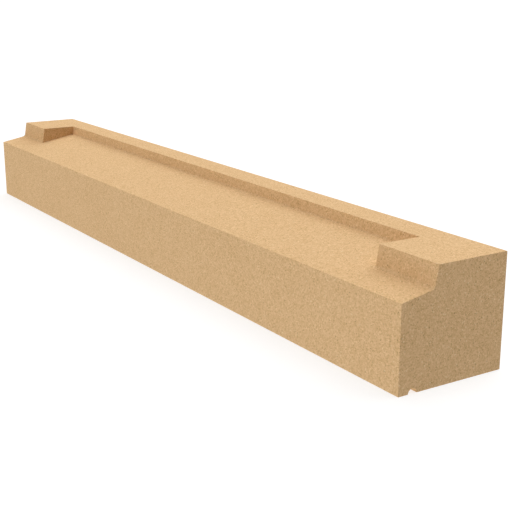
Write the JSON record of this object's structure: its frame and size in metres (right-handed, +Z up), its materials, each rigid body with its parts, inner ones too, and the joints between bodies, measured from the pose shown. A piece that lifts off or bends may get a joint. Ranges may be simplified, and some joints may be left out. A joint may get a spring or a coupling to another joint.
{
  "type": "cast stone window sill",
  "caption": "Stooled cast stone window sill: a sloping wash between raised ends, an upstand along the back for the window and a drip groove under the nose.",
  "frame": {"origin": "middle of the bed face, under the middle of the sill's length and depth", "axes": "+X along the sill, +Y from the front face to the back face (into the building), +Z up"},
  "size_m": [1.225, 0.15, 0.14],
  "materials": {
    "cast_stone": "fine sandy cast face, matt, warm buff"
  },
  "bodies": {
    "root": {"sill": "cast_stone"}
  },
  "joints": []
}
